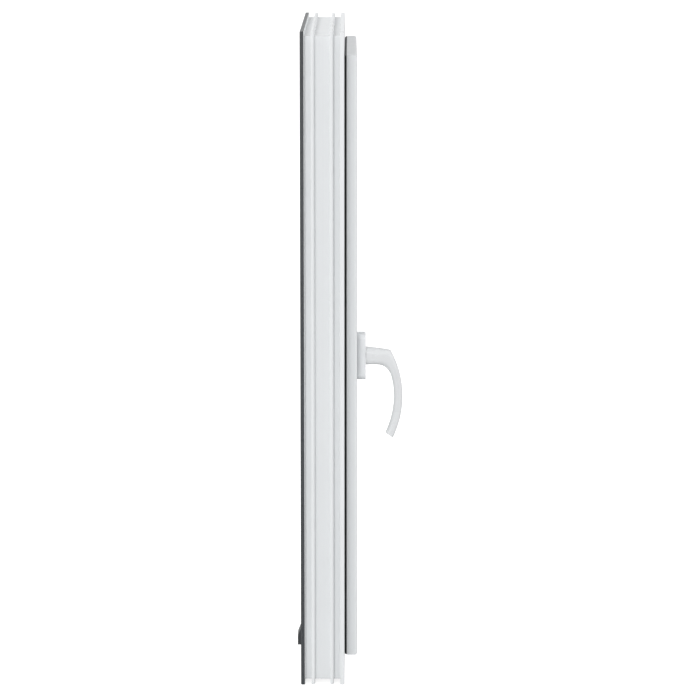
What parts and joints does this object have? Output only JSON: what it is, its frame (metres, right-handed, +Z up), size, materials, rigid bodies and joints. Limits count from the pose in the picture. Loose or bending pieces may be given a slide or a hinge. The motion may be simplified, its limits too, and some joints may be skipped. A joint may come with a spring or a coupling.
{
  "type": "casement window",
  "caption": "Small inward-opening casement window: white hollow-profile frame with a dark outdoor skin, one double-glazed side-hung sash, lever handle and edge drive.",
  "frame": {"origin": "middle of the frame's width and depth, on the plane under the ribs that the sill stands on", "axes": "+Z up, -Y towards the room, +Y outdoors; the handle is on the -X side and the hinges on the +X side"},
  "size_m": [0.55, 0.147, 0.9],
  "materials": {
    "white_profile": "white rigid plastic, satin, faint extrusion lines",
    "dark_skin": "anthracite laminated skin with a fine grain",
    "dark_plastic": "anthracite moulded plastic",
    "seal_rubber": "black sealing rubber, matt",
    "clear_glass": "clear float glass",
    "spacer_metal": "matt aluminium",
    "sealant": "dark grey sealant",
    "grey_plastic": "grey moulded plastic",
    "core_steel": "galvanised steel",
    "plated_steel": "zinc-plated steel",
    "white_hinge": "white powder coating",
    "white_cover": "white moulded plastic",
    "white_handle": "white powder-coated aluminium, satin"
  },
  "bodies": {
    "frame": {"frame_head": "white_profile", "frame_sill": "white_profile", "frame_lock_jamb": "white_profile", "frame_hinge_jamb": "white_profile", "frame_steel": "core_steel", "frame_skin": "dark_skin", "frame_gasket": "seal_rubber", "drain_caps": "dark_plastic", "strikers": "plated_steel", "striker_screws": "plated_steel", "hinge_bracket_lower": "white_hinge", "hinge_bracket_upper": "white_hinge", "bracket_screws": "plated_steel", "bracket_covers": "white_cover", "hinge_pins": "plated_steel", "hinge_washers": "grey_plastic"},
    "sash": {"sash_top_rail": "white_profile", "sash_bottom_rail": "white_profile", "sash_lock_stile": "white_profile", "sash_hinge_stile": "white_profile", "sash_steel": "core_steel", "sash_skin": "dark_skin", "sash_gasket": "seal_rubber", "pane_outdoor": "clear_glass", "pane_indoor": "clear_glass", "spacer_bar": "spacer_metal", "edge_sealant": "sealant", "glazing_packers": "grey_plastic", "glazing_gasket_outdoor": "seal_rubber", "glazing_gasket_indoor": "seal_rubber", "bead_top": "white_profile", "bead_bottom": "white_profile", "bead_lock": "white_profile", "bead_hinge": "white_profile", "hinge_leaf_lower": "white_hinge", "hinge_leaf_upper": "white_hinge", "leaf_screws": "plated_steel", "faceplate": "plated_steel", "faceplate_screws": "plated_steel", "gearbox_case": "plated_steel", "gearbox_lid": "plated_steel", "rosette_base": "grey_plastic", "rosette_cover": "white_cover", "rosette_screws": "plated_steel"},
    "rod": {"drive_rod": "plated_steel", "cams": "plated_steel"},
    "handle": {"handle_lever": "white_handle", "spindle": "plated_steel", "pinion": "plated_steel", "lever_grub_screw": "plated_steel"}
  },
  "joints": [
    {"name": "sash_turn", "type": "hinge", "parent": "frame", "child": "sash", "pos_m": [0.2498, -0.039, 0], "axis": [0, 0, 1], "range_deg": [0, 90]},
    {"name": "handle_turn", "type": "hinge", "parent": "sash", "child": "handle", "pos_m": [-0.2065, -0.0476, 0.45], "axis": [0, -1, 0], "range_deg": [0, 90]},
    {"name": "rod_slide", "type": "slide", "parent": "sash", "child": "rod", "axis": [0, 0, -1], "range_m": [0, 0.018]}
  ],
  "couplings": [
    {"joint": "rod_slide", "follows": "handle_turn", "m_per_rad": 0.011459}
  ]
}
